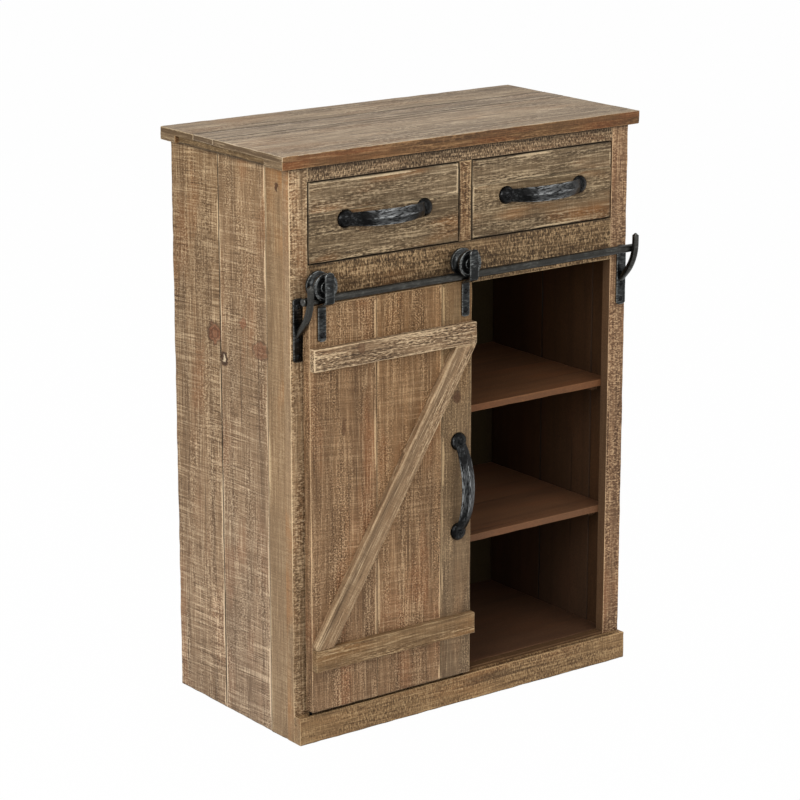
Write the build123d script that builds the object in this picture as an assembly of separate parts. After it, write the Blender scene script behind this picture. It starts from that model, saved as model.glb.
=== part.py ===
"""Rustic storage cabinet with two drawers above open shelves and one sliding plank door on a rod track.

Units are millimetres. X runs to the cabinet's right, Y to its back and Z up. The pieces are laid out
from the face plane, which is the front of the stiles, and moved at the end so that the origin is
the middle of the whole object's footprint, on the floor.
"""
from build123d import *

import os
from math import radians, tan

# Whole cabinet
cabinet_w = 600.0
cabinet_h = 800.0
carcass_d = 280.8
board_edge = 1.2
edge_limit_share = 0.3
overrun = 5.0

# Layered top: boards over a frame of strips
top_board_t = 8.4
top_strip_t = 10.0
top_front_overhang = 7.0
top_side_overhang = 14.0
top_rear_board_w = 82.0
top_middle_board_w = 47.0
top_front_strip_w = 43.0
top_rear_strip_w = 37.0
top_end_strip_w = 23.0
top_end_recess = 5.0
top_edge = 2.0

# Plank sides and back
side_t = 14.0
side_front_board_w = 39.0
side_middle_board_w = 111.0
back_panel_t = 3.0
back_panel_inset = 4.0
back_panel_lift = 12.0

# Face frame
stile_w = 29.0
stile_t = 15.0
top_rail_h = 20.1
drawer_opening_h = 109.0
drawer_rail_h = 58.8
divider_w = 20.0
bottom_rail_h = 42.0
baseboard_h = 39.5
baseboard_t = 14.5

# Floor and shelves
floor_t = 12.0
shelf_t = 10.0
compartments = 3
shelf_setback = 1.0
cleat_w = 10.0
cleat_h = 12.0
cleat_inset = 25.0

# Drawers and their wooden runners
drawer_gap = 1.25
drawer_front_t = 15.0
left_front_seam_share = 0.61
right_front_seam_share = 0.67
drawer_side_t = 10.0
drawer_back_t = 10.0
drawer_bottom_t = 4.0
drawer_bottom_lift = 6.0
drawer_side_inset = 4.0
drawer_box_h = 78.0
drawer_box_d = 240.0
runner_h = 20.0
runner_guide_h = 30.0
runner_gap = 0.25
runner_guide_gap = 1.0

# Rod track and its hook brackets
rod_r = 5.5
track_drop = 41.4
rod_end = 2.0
rod_seat_gap = 0.05
left_bracket_inset = 11.5
right_bracket_inset = 10.0
plate_w = 16.0
plate_t = 3.0
plate_h = 84.5
plate_drop = 83.6
plate_corner_r = 3.0
arm_reach = 31.0
arm_w = 8.5
arm_corner = 2.4
arm_foot_drop = 45.1
arm_angle = 45.0
arm_bend_r = 66.0
arm_tip_rise = 23.2
arm_tip_bevel = 2.0

# Sliding door
door_middle_gap = 3.0
door_t = 16.0
door_plate_gap = 1.0
door_track_gap = 1.6
door_floor_gap = 5.5
door_middle_board_w = 108.0
door_right_board_w = 51.0
batten_t = 11.0
batten_h = 30.5
top_batten_drop = 56.0
bottom_batten_lift = 60.5
brace_w = 28.0
brace_foot = 29.0
door_pull_across_share = 0.45
door_pull_up_share = 0.478

# Grooved rollers on their hanger straps
roller_r = 18.5
roller_w = 22.0
groove_w = 12.4
roller_track_gap = 0.3
groove_r = 12.1
roller_stop_gap = 0.75
roller_side_gap = 0.5
axle_r = 4.0
axle_clear = 0.3
axle_head_r = 6.5
axle_head_t = 2.0
collar_r = 6.5
collar_w = 5.25
rivet_r = 5.5
rivet_crown_r = 3.3
rivet_h = 2.5
left_strap_inset = 18.5
right_strap_inset = 13.0
strap_t = 3.0
strap_low_w = 12.5
strap_high_w = 14.0
strap_low_h = 47.5
strap_high_rise = 21.0
strap_jog_gap = 2.5
strap_jog_rise = 7.5
strap_corner_r = 3.0
strap_bend_r = 4.0

# Guide pins under the door, running in the baseboard
pin_r = 2.0
pin_clear = 0.1
pin_socket = 8.0
pin_inset_x = 5.0
pin_inset_y = 4.0
guide_groove_w = 5.0
guide_groove_d = 5.0
guide_groove_end = 16.0
pin_tip_gap = 1.0

# Cast bow pulls
pull_pitch = 128.0
pull_depth = 28.0
pull_band_w = 18.5
pull_neck_w = 16.0
pull_band_t = 7.0
pull_band_side_t = 3.5
pull_foot_h = 2.0
pull_band_end = 5.0
pull_bow_angle = 90.0
rosette_r = 12.5
rosette_rim_t = 5.0
rosette_h = 7.0
rosette_seat_r = 10.4

# Heights and depths that follow from the sizes above
strip_z = cabinet_h - top_board_t
carcass_h = strip_z - top_strip_t
opening_top = carcass_h - top_rail_h
opening_bottom = opening_top - drawer_opening_h
rail_bottom = opening_bottom - drawer_rail_h
half_w = cabinet_w / 2 - top_side_overhang
half_opening = half_w - stile_w
half_inside = half_w - side_t
back_reach = carcass_d + back_panel_t
rod_z = opening_bottom - track_drop
rod_low = rod_z - rod_r
door_back_y = -(plate_t + door_plate_gap)
door_front_y = door_back_y - door_t
arm_y = -arm_reach
rod_y = arm_y + arm_w / 2 + rod_r
axle_z = rod_z + rod_r + roller_track_gap + groove_r
collar_y = rod_y - roller_w / 2 - roller_side_gap
strap_back_y = collar_y - collar_w
strap_front_y = strap_back_y - strap_t
left_bracket_x = left_bracket_inset - half_w
right_bracket_x = half_w - right_bracket_inset
left_roller_x = left_bracket_x + arm_w / 2 + roller_stop_gap + roller_r
door_left = left_roller_x - left_strap_inset
door_right = -door_middle_gap
right_roller_x = door_right - right_strap_inset
door_top = rod_low - door_track_gap
door_bottom = baseboard_h + door_floor_gap
front_reach = pull_depth - door_front_y
to_origin = Pos(0, (front_reach - back_reach) / 2, 0)

nodes = {}


def block(x, y, z):
    """A plain box between two values on each axis."""
    middle = Pos((x[0] + x[1]) / 2, (y[0] + y[1]) / 2, (z[0] + z[1]) / 2)
    return middle * Box(x[1] - x[0], y[1] - y[0], z[1] - z[0])


def board(x, y, z, edge=board_edge):
    """A sawn board with eased edges."""
    eased = min(edge, edge_limit_share * min(x[1] - x[0], y[1] - y[0], z[1] - z[0]))
    body = block(x, y, z)
    return chamfer(body.edges(), eased)


def across(side, inner, outer):
    """The X range between two distances from the middle, on the left (-1) or right (1)."""
    return tuple(sorted((side * inner, side * outer)))


def along_y(radius, y, x=0.0, z=0.0):
    """A round bar along Y."""
    bar = Rot(90, 0, 0) * Cylinder(radius, y[1] - y[0])
    return Pos(x, (y[0] + y[1]) / 2, z) * bar


def make_top():
    half_top = cabinet_w / 2
    x = (-half_top, half_top)
    rear_seam = back_reach - top_rear_board_w
    front_seam = rear_seam - top_middle_board_w
    boards = {
        "top_board_rear": (rear_seam, back_reach),
        "top_board_middle": (front_seam, rear_seam),
        "top_board_front": (-top_front_overhang, front_seam),
    }
    for name, y in boards.items():
        nodes[name] = board(x, y, (strip_z, cabinet_h), top_edge)
    z = (carcass_h, strip_z)
    front_back = top_front_strip_w - top_front_overhang
    rear_front = back_reach - top_rear_strip_w
    nodes["top_front_strip"] = board(x, (-top_front_overhang, front_back), z, top_edge)
    nodes["top_rear_strip"] = board(x, (rear_front, back_reach), z, top_edge)
    outer = half_top - top_end_recess
    for name, side in (("left", -1), ("right", 1)):
        end_x = across(side, outer - top_end_strip_w, outer)
        nodes[f"top_{name}_strip"] = board(end_x, (front_back, rear_front), z)


def make_side(name, side):
    x = across(side, half_inside, half_w)
    front_seam = stile_t + side_front_board_w
    rear_seam = front_seam + side_middle_board_w
    z = (0, carcass_h)
    nodes[f"{name}_side_board_front"] = board(x, (stile_t, front_seam), z)
    nodes[f"{name}_side_board_middle"] = board(x, (front_seam, rear_seam), z)
    nodes[f"{name}_side_board_rear"] = board(x, (rear_seam, carcass_d), z)


def make_stile(name, side):
    nodes[f"{name}_stile"] = board(across(side, half_opening, half_w), (0, stile_t), (0, carcass_h))


def make_face_frame():
    inner = (-half_opening, half_opening)
    y = (0, stile_t)
    nodes["top_rail"] = board(inner, y, (opening_top, carcass_h))
    nodes["drawer_divider"] = board((-divider_w / 2, divider_w / 2), y, (opening_bottom, opening_top))
    nodes["drawer_rail"] = board(inner, y, (rail_bottom, opening_bottom))
    nodes["bottom_rail"] = board(inner, y, (0, bottom_rail_h))
    groove_y = door_back_y - pin_inset_y
    groove_half = half_w - guide_groove_end
    groove = block(
        (-groove_half, groove_half),
        (groove_y - guide_groove_w / 2, groove_y + guide_groove_w / 2),
        (baseboard_h - guide_groove_d, baseboard_h + overrun),
    )
    nodes["baseboard"] = board((-half_w, half_w), (-baseboard_t, 0), (0, baseboard_h)) - groove


def make_inside():
    inside = (-half_inside, half_inside)
    floor_low = bottom_rail_h - floor_t
    nodes["floor_panel"] = board(inside, (stile_t, carcass_d), (floor_low, bottom_rail_h))
    shelf_y = (stile_t + shelf_setback, carcass_d)
    undersides = [floor_low]
    pitch = (rail_bottom - bottom_rail_h + shelf_t) / compartments
    for step, name in enumerate(("lower_shelf", "upper_shelf"), start=1):
        shelf_top = bottom_rail_h + step * pitch
        nodes[name] = board(inside, shelf_y, (shelf_top - shelf_t, shelf_top))
        undersides.append(shelf_top - shelf_t)
    cleat_y = (stile_t + cleat_inset, carcass_d - cleat_inset)
    cleats = []
    for side in (-1, 1):
        cleat_x = across(side, half_inside - cleat_w, half_inside)
        for z in undersides:
            cleats.append(block(cleat_x, cleat_y, (z - cleat_h, z)))
    nodes["shelf_cleats"] = Compound(children=cleats)
    back_half = half_w - back_panel_inset
    back_z = (back_panel_lift, carcass_h)
    nodes["back_panel"] = board((-back_half, back_half), (carcass_d, back_reach), back_z)


def make_runners():
    """L runners on the sides and a T runner in the middle, which carry and guide the drawer sides."""
    y = (stile_t, carcass_d)
    ledge = opening_bottom + drawer_gap - runner_gap
    base_z = (ledge - runner_h, ledge)
    guide_z = (ledge, ledge + runner_guide_h)
    wall = drawer_gap + drawer_side_inset
    reach = wall + drawer_side_t
    for name, side in (("left", -1), ("right", 1)):
        base = block(across(side, half_opening - reach, half_inside), y, base_z)
        guide = block(across(side, half_opening - wall + runner_guide_gap, half_inside), y, guide_z)
        nodes[f"{name}_drawer_runner"] = base + guide
    half_base = divider_w / 2 + reach
    half_guide = divider_w / 2 + wall - runner_guide_gap
    middle = block((-half_base, half_base), y, base_z) + block((-half_guide, half_guide), y, guide_z)
    nodes["middle_drawer_runner"] = middle


def rosette():
    """The round cast foot of a pull, on Y = 0: a rim, a sloping crown and a flat seat for its screw."""
    outline = Polyline(
        (0, 0),
        (rosette_r, 0),
        (rosette_r, -rosette_rim_t),
        (rosette_seat_r, -rosette_h),
        (0, -rosette_h),
        close=True,
    )
    return revolve(make_face(outline), Axis.Y)


def bow_pull():
    """A cast pull along X on the plane Y = 0: a ridged band that bows out between two rosettes."""
    half_pitch = pull_pitch / 2
    inner_y = pull_band_t - pull_depth
    rise = -inner_y - pull_foot_h
    bow_r = (half_pitch**2 + rise**2) / (2 * rise)
    bow_axis = Axis((0, inner_y + bow_r, 0), (0, 0, 1))
    half_band = pull_band_w / 2
    side_y = inner_y - pull_band_side_t
    section = Plane.YZ * make_face(
        Polyline(
            (inner_y, -half_band),
            (side_y, -half_band),
            (-pull_depth, 0),
            (side_y, half_band),
            (inner_y, half_band),
            close=True,
        )
    )
    band = revolve(section.rotate(bow_axis, -pull_bow_angle / 2), bow_axis, pull_bow_angle)
    end_x = half_pitch - pull_band_end
    half_neck = pull_neck_w / 2
    lower = ThreePointArc((-end_x, -half_neck), (0, -half_band), (end_x, -half_neck))
    upper = ThreePointArc((end_x, half_neck), (0, half_band), (-end_x, half_neck))
    ends = Line((end_x, -half_neck), (end_x, half_neck)) + Line((-end_x, half_neck), (-end_x, -half_neck))
    outline = Plane.XZ * make_face(lower + upper + ends)
    pull = band & extrude(outline, pull_depth + overrun)
    for x in (-half_pitch, half_pitch):
        pull += Pos(x, 0, 0) * rosette()
    return pull


def make_drawer(name, left, seam_share):
    """A plain box behind a front of two boards, the lower of which carries the pull."""
    opening_w = half_opening - divider_w / 2
    x0 = left + drawer_gap
    x1 = left + opening_w - drawer_gap
    z0 = opening_bottom + drawer_gap
    z1 = opening_top - drawer_gap
    centre = (x0 + x1) / 2
    pull_z = (z0 + z1) / 2
    seam_z = z0 + (z1 - z0) * seam_share
    front_y = (0, drawer_front_t)
    nodes[f"{name}_drawer_front"] = board((x0, x1), front_y, (z0, seam_z))
    nodes[f"{name}_drawer_front_upper"] = board((x0, x1), front_y, (seam_z, z1))
    box_y = (drawer_front_t, drawer_front_t + drawer_box_d)
    box_z = (z0, z0 + drawer_box_h)
    side_x0 = x0 + drawer_side_inset
    side_x1 = x1 - drawer_side_inset
    inner = (side_x0 + drawer_side_t, side_x1 - drawer_side_t)
    nodes[f"{name}_drawer_left_side"] = board((side_x0, inner[0]), box_y, box_z)
    nodes[f"{name}_drawer_right_side"] = board((inner[1], side_x1), box_y, box_z)
    nodes[f"{name}_drawer_back"] = board(inner, (box_y[1] - drawer_back_t, box_y[1]), box_z)
    floor_z = z0 + drawer_bottom_lift
    floor_y = (drawer_front_t, box_y[1] - drawer_back_t)
    nodes[f"{name}_drawer_bottom"] = board(inner, floor_y, (floor_z, floor_z + drawer_bottom_t))
    nodes[f"{name}_drawer_pull"] = Pos(centre, 0, pull_z) * bow_pull()


def hook_bracket():
    """A screwed plate on the face plane, with a forged arm that curves up in front of the rod."""
    plate_face = Plane.XZ * RectangleRounded(plate_w, plate_h, plate_corner_r)
    plate = Pos(0, 0, rod_z - plate_drop + plate_h / 2) * extrude(plate_face, plate_t)
    foot = rod_z - arm_foot_drop
    rise = tan(radians(arm_angle))
    start = (0, arm_w, foot - (plate_t + arm_w) * rise)
    corner = (0, arm_y, foot + (arm_reach - plate_t) * rise)
    tip = (0, arm_y, rod_z + arm_tip_rise)
    path = FilletPolyline(start, corner, tip, radius=arm_bend_r)
    bar = Rectangle(arm_w, arm_w)
    bar = chamfer(bar.vertices(), arm_corner)
    arm = sweep(Plane(path @ 0, x_dir=(1, 0, 0), z_dir=path % 0) * bar, path)
    arm = chamfer(arm.faces().sort_by(Axis.Z)[-1].edges(), arm_tip_bevel)
    behind = block((-plate_w, plate_w), (-plate_t / 2, arm_w + plate_w), (0, rod_z))
    seat = Pos(0, rod_y, rod_z) * Rot(0, 90, 0) * Cylinder(rod_r + rod_seat_gap, 2 * plate_w)
    return plate + (arm - behind - seat)


def make_track():
    """The rod lies in the crooks of the two brackets and ends just past their arms."""
    beyond = arm_w / 2 + rod_end
    rod_left = left_bracket_x - beyond
    rod_right = right_bracket_x + beyond
    rod = Rot(0, 90, 0) * Cylinder(rod_r, rod_right - rod_left)
    nodes["track_rod"] = Pos((rod_left + rod_right) / 2, rod_y, rod_z) * rod
    for name, x in (("left", left_bracket_x), ("right", right_bracket_x)):
        nodes[f"{name}_track_bracket"] = Pos(x, 0, 0) * hook_bracket()


def hanger_strap():
    """A bent strap: it lies on the door, slopes out under the rod and stands in front of the roller."""
    low_top = rod_low - strap_jog_gap
    high_top = low_top + strap_jog_rise
    bottom = low_top - strap_low_h
    top = axle_z + strap_high_rise
    low_front = door_front_y - strap_t
    low_bend = low_top - strap_t
    high_bend = high_top - strap_t
    bends = Polyline(
        (door_front_y, bottom),
        (door_front_y, low_top),
        (strap_back_y, high_top),
        (strap_back_y, top),
        (strap_front_y, top),
        (strap_front_y, high_bend),
        (low_front, low_bend),
        (low_front, bottom),
        close=True,
    )
    profile = make_face(bends)
    corners = profile.vertices()
    rear_bend = corners.sort_by_distance((door_front_y, low_top, 0))[0]
    front_bend = corners.sort_by_distance((strap_front_y, high_bend, 0))[0]
    profile = fillet([rear_bend, front_bend], strap_bend_r)
    body = extrude(Plane.YZ * profile, strap_high_w / 2, both=True)
    low_z = (bottom + low_bend) / 2
    low_face = Pos(0, low_z) * RectangleRounded(strap_low_w, low_bend - bottom, strap_corner_r)
    neck_face = Pos(0, low_bend) * Rectangle(strap_low_w, 2 * strap_corner_r)
    half_high = strap_high_w / 2
    crown_z = top - half_high
    high_face = Pos(0, (low_bend + crown_z) / 2) * Rectangle(strap_high_w, crown_z - low_bend)
    crown_face = Pos(0, crown_z) * Circle(half_high)
    front_face = Plane.XZ * (low_face + neck_face + high_face + crown_face)
    strap = body & extrude(front_face, -strap_front_y + overrun)
    return strap - along_y(axle_r + axle_clear, (strap_front_y - overrun, strap_back_y + overrun), 0, axle_z)


def roller_axle():
    """A rivet that carries the roller: a head before the strap, a collar between and a flat head behind."""
    back = rod_y + roller_w / 2 + roller_side_gap
    shaft = along_y(axle_r, (strap_front_y, back), 0, axle_z)
    head = along_y(axle_head_r, (back, back + axle_head_t), 0, axle_z)
    outline = Polyline((0, 0), (rivet_r, 0), (rivet_crown_r, -rivet_h), (0, -rivet_h), close=True)
    rivet = Pos(0, strap_front_y, axle_z) * revolve(make_face(outline), Axis.Y)
    collar = along_y(collar_r, (strap_back_y, collar_y), 0, axle_z)
    return shaft + head + collar + rivet


def grooved_roller():
    """A spool that straddles the rod: a groove between two flat flanges."""
    half = roller_w / 2
    wall = groove_w / 2
    bore = axle_r + axle_clear
    outline = Polyline(
        (bore, -half),
        (roller_r, -half),
        (roller_r, -wall),
        (groove_r, -wall),
        (groove_r, wall),
        (roller_r, wall),
        (roller_r, half),
        (bore, half),
        close=True,
    )
    return Pos(0, rod_y, axle_z) * revolve(make_face(outline), Axis.Y)


def brace_outline():
    """The diagonal brace between the battens, cut to the door's left edge."""
    low = door_bottom + bottom_batten_lift + batten_h
    high = door_top - top_batten_drop - batten_h
    foot_x = door_left + brace_foot
    slope = (door_right - foot_x) / (high - low)
    level_w = brace_w * (1 + slope**2) ** 0.5
    left_foot_x = foot_x - level_w
    left_meets_z = low + (door_left - left_foot_x) / slope
    return Polyline(
        (door_left, low),
        (foot_x, low),
        (door_right, high),
        (door_right - level_w, high),
        (door_left, left_meets_z),
        close=True,
    )


def make_door_boards():
    y = (door_front_y, door_back_y)
    z = (door_bottom, door_top)
    right_seam = door_right - door_right_board_w
    left_seam = right_seam - door_middle_board_w
    left = board((door_left, left_seam), y, z)
    middle = board((left_seam, right_seam), y, z)
    right = board((right_seam, door_right), y, z)
    low = door_bottom + bottom_batten_lift + batten_h
    high = door_top - top_batten_drop - batten_h
    pull_x = door_right - door_right_board_w * door_pull_across_share
    pull_z = low + (high - low) * door_pull_up_share
    place = Pos(pull_x, door_front_y, pull_z) * Rot(0, 90, 0)
    nodes["door_pull"] = place * bow_pull()
    pin_y = door_back_y - pin_inset_y
    pin_low = baseboard_h - guide_groove_d + pin_tip_gap
    pin_high = door_bottom + pin_socket
    pin = Cylinder(pin_r, pin_high - pin_low)
    socket = Cylinder(pin_r + pin_clear, pin_socket)
    left_pin = (door_left + pin_inset_x, pin_y)
    right_pin = (door_right - pin_inset_x, pin_y)
    left -= Pos(*left_pin, door_bottom + pin_socket / 2) * socket
    right -= Pos(*right_pin, door_bottom + pin_socket / 2) * socket
    pins = [Pos(*spot, (pin_low + pin_high) / 2) * pin for spot in (left_pin, right_pin)]
    nodes["door_guide_pins"] = Compound(children=pins)
    nodes["door_board_left"] = left
    nodes["door_board_middle"] = middle
    nodes["door_board_right"] = right


def make_door_trim():
    x = (door_left, door_right)
    y = (door_front_y - batten_t, door_front_y)
    top = door_top - top_batten_drop
    bottom = door_bottom + bottom_batten_lift
    nodes["door_top_batten"] = board(x, y, (top - batten_h, top))
    nodes["door_bottom_batten"] = board(x, y, (bottom, bottom + batten_h))
    brace = Pos(0, door_front_y, 0) * extrude(Plane.XZ * make_face(brace_outline()), batten_t)
    front = brace.faces().sort_by(Axis.Y)[0]
    nodes["door_brace"] = chamfer(front.edges(), board_edge)


def make_hangers():
    axles = []
    for name, x in (("left", left_roller_x), ("right", right_roller_x)):
        nodes[f"{name}_hanger_strap"] = Pos(x, 0, 0) * hanger_strap()
        nodes[f"{name}_roller"] = Pos(x, 0, 0) * grooved_roller()
        axles.append(Pos(x, 0, 0) * roller_axle())
    nodes["roller_axles"] = Compound(children=axles)


make_top()
for side_name, side_sign in (("left", -1), ("right", 1)):
    make_side(side_name, side_sign)
    make_stile(side_name, side_sign)
make_face_frame()
make_inside()
make_runners()
make_drawer("left", -half_opening, left_front_seam_share)
make_drawer("right", divider_w / 2, right_front_seam_share)
make_track()
make_door_boards()
make_door_trim()
make_hangers()

os.makedirs("parts", exist_ok=True)
for node_name, node in nodes.items():
    export_step(to_origin * node, f"parts/{node_name}.step")
print(len(nodes), "nodes; face plane at Y =", round(to_origin.position.Y, 3))
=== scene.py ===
"""Dresses the storage cabinet: worn plank wood, black cast pulls and forged rolling track hardware."""

import math

import bmesh
import bpy
import numpy as np
from mathutils import Matrix, Vector, noise


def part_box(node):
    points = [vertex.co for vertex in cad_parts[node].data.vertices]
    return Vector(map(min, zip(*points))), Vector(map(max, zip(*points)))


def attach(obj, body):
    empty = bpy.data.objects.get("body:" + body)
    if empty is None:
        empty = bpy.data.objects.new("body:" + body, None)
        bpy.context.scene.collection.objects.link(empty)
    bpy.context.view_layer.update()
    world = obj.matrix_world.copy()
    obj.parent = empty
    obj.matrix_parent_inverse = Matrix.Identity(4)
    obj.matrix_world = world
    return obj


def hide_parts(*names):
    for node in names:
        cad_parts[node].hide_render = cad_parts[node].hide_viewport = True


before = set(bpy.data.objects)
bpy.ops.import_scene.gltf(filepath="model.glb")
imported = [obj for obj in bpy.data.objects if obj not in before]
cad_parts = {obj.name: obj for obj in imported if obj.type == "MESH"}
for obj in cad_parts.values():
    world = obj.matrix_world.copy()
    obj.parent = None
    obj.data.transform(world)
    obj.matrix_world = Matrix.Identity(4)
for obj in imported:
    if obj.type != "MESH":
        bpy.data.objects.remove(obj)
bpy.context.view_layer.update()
MM = 0.001
X, Y, Z = 0, 1, 2


def srgb(red, green, blue):
    """A display colour of 0 to 255 a channel as the linear colour that a shader takes."""
    linear = [(c / 255 / 12.92) if c <= 10 else ((c / 255 + 0.055) / 1.055) ** 2.4 for c in (red, green, blue)]
    return (*linear, 1.0)


# Shader building

def wire(tree, socket, value):
    if isinstance(value, bpy.types.NodeSocket):
        tree.links.new(value, socket)
    else:
        socket.default_value = value


def add(tree, kind, sockets=None, **settings):
    """A new node with its settings made and its sockets set or linked."""
    node = tree.nodes.new(f"ShaderNode{kind}")
    for name, value in settings.items():
        setattr(node, name, value)
    for name, value in (sockets or {}).items():
        wire(tree, node.inputs[name], value)
    return node


def calc(tree, operation, first, second=0.0, third=0.0):
    sockets = {0: first, 1: second, 2: third}
    return add(tree, "Math", sockets, operation=operation).outputs[0]


def times(tree, first, second):
    return calc(tree, "MULTIPLY", first, second)


def ramped(tree, value, slope, start):
    """A value times a slope, plus a start."""
    return calc(tree, "MULTIPLY_ADD", value, slope, start)


def vector(tree, operation, first, second):
    return add(tree, "VectorMath", {0: first, 1: second}, operation=operation).outputs[0]


def mix(tree, factor, first, second):
    sockets = {0: factor, 6: first, 7: second}
    return add(tree, "Mix", sockets, data_type="RGBA").outputs[2]


def mask(tree, value, low, high):
    """0 below low, 1 above high and smooth between them."""
    sockets = {0: value, 1: low, 2: high}
    return add(tree, "MapRange", sockets, interpolation_type="SMOOTHSTEP").outputs[0]


def stretched(tree, spot, scale, detail=2.0, roughness=0.5):
    """Noise whose spots are drawn out by a different scale on each axis."""
    scaled = vector(tree, "MULTIPLY", spot, scale)
    sockets = {"Vector": scaled, "Scale": 1.0, "Detail": detail, "Roughness": roughness}
    return add(tree, "TexNoise", sockets).outputs["Fac"]


FLOAT, COLOR, VECTOR = "NodeSocketFloat", "NodeSocketColor", "NodeSocketVector"
SURFACE = {COLOR: ("Color",), FLOAT: ("Roughness", "Height")}
MARK_LABELS = ("Flecks", "Fleck Cover", "Saw Lines", "Streaks", "Bands", "Rubbed Edge")


def new_group(name, inputs, outputs):
    """A shader node group with named sockets, and its input and output nodes."""
    group = bpy.data.node_groups.new(name, "ShaderNodeTree")
    for side, sockets in (("INPUT", inputs), ("OUTPUT", outputs)):
        for kind, labels in sockets.items():
            for label in labels:
                group.interface.new_socket(label, in_out=side, socket_type=kind)
    return group, group.nodes.new("NodeGroupInput").outputs, group.nodes.new("NodeGroupOutput").inputs


def weathered_board_group():
    """Sawn, worn board: bands, fibres, warm patches, saw lines, rough flecks, cracks, rubbed arrises, and painted shade
    in seams and hollows.
    """
    inputs = {
        VECTOR: ("Grain", "Fleck Scale"),
        COLOR: ("Pale", "Mid", "Dark", "Warm"),
        FLOAT: ("Wear", "Seam", "Tone", *MARK_LABELS),
    }
    tree, given, out = new_group("weathered_board", inputs, SURFACE)
    grain, pale, dark = given["Grain"], given["Pale"], given["Dark"]
    part = add(tree, "SeparateXYZ", {0: grain}).outputs
    bend = calc(tree, "SUBTRACT", stretched(tree, grain, (2.2, 7.0, 7.0)), 0.5)
    sway = add(tree, "CombineXYZ", {1: times(tree, bend, 0.016)}).outputs[0]
    warped = vector(tree, "ADD", grain, sway)
    slant = ramped(tree, part[1], 0.06, part[0])
    slant = ramped(tree, bend, 0.01, slant)
    across = add(tree, "CombineXYZ", {0: slant, 1: part[1], 2: part[2]}).outputs[0]

    bands = stretched(tree, warped, (0.9, 62.0, 30.0), 3.0, 0.6)
    fibre = stretched(tree, warped, (19.0, 430.0, 430.0), 3.0, 0.65)
    grit = stretched(tree, grain, (520.0, 620.0, 620.0), 2.0, 0.6)
    crack = mask(tree, stretched(tree, warped, (2.6, 120.0, 90.0), 1.0), 0.68, 0.76)
    blotch = stretched(tree, grain, (5.0, 15.0, 15.0), 3.0, 0.6)
    warm = mask(tree, stretched(tree, warped, (6.5, 24.0, 19.0), 2.0), 0.5, 0.72)
    rows = stretched(tree, across, (540.0, 20.0, 20.0), 2.0, 0.55)
    dots = stretched(tree, across, given["Fleck Scale"], 2.0, 0.55)
    kerf = calc(tree, "ABSOLUTE", calc(tree, "SUBTRACT", stretched(tree, across, (105.0, 2.0, 2.0), 1.0), 0.5))
    column = calc(tree, "ADD", stretched(tree, grain, (6.0, 46.0, 46.0), 3.0, 0.6), given["Fleck Cover"])
    column = times(tree, mask(tree, column, 0.38, 0.7), given["Flecks"])
    spread = mask(tree, stretched(tree, grain, (8.0, 13.0, 13.0), 2.0), 0.36, 0.62)

    sawn = times(tree, ramped(tree, spread, 0.5, 0.5), given["Saw Lines"])
    rough = ramped(tree, calc(tree, "SUBTRACT", fibre, 0.5), 0.35, dots)
    pit = times(tree, mask(tree, rough, 0.49, 0.36), column)
    fleck = times(tree, mask(tree, rough, 0.52, 0.65), column)
    lines = times(tree, mask(tree, kerf, 0.026, 0.005), sawn)
    lines = times(tree, lines, mask(tree, fibre, 0.36, 0.6))
    rub = calc(tree, "ADD", given["Wear"], ramped(tree, dots, 0.7, -0.35))
    rub = calc(tree, "ADD", rub, ramped(tree, blotch, 1.2, -0.6))
    color = given["Mid"]
    for strength, coat in (
        (times(tree, mask(tree, bands, 0.58, 0.32), given["Bands"]), dark),
        (times(tree, warm, 0.7), given["Warm"]),
        (times(tree, mask(tree, fibre, 0.5, 0.74), given["Streaks"]), pale),
        (times(tree, mask(tree, fibre, 0.46, 0.27), given["Streaks"]), dark),
        (times(tree, mask(tree, rows, 0.48, 0.3), sawn), dark),
        (times(tree, mask(tree, rows, 0.56, 0.74), sawn), pale),
        (pit, dark),
        (fleck, pale),
        (lines, pale),
        (times(tree, crack, 0.65), dark),
        (times(tree, mask(tree, rub, 0.5, 0.85), given["Rubbed Edge"]), pale),
    ):
        color = mix(tree, strength, color, coat)
    value = ramped(tree, blotch, 0.75, 0.63)
    value = times(tree, value, ramped(tree, grit, 1.0, 0.5))
    # Tone makes a board paler and less saturated; a side board's fading tone paints the light from below.
    value = times(tree, value, ramped(tree, given["Tone"], 0.1, 1.0))
    sockets = {"Saturation": ramped(tree, given["Tone"], -0.1, 1.0), "Value": value, "Color": color}
    shifted = add(tree, "HueSaturation", sockets).outputs[0]
    # Painted shade: this darkens the colour towards near black in seams, under overhangs and in the pin groove.
    color = mix(tree, times(tree, given["Seam"], 0.95), shifted, srgb(26, 18, 11))
    wire(tree, out["Color"], color)
    wire(tree, out["Roughness"], ramped(tree, fibre, 0.25, 0.58))
    height = ramped(tree, fibre, 0.35, times(tree, bands, 0.3))
    height = ramped(tree, fleck, 0.45, ramped(tree, pit, -0.6, height))
    height = ramped(tree, lines, 0.25, ramped(tree, crack, -0.9, height))
    wire(tree, out["Height"], height)
    return tree


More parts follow.
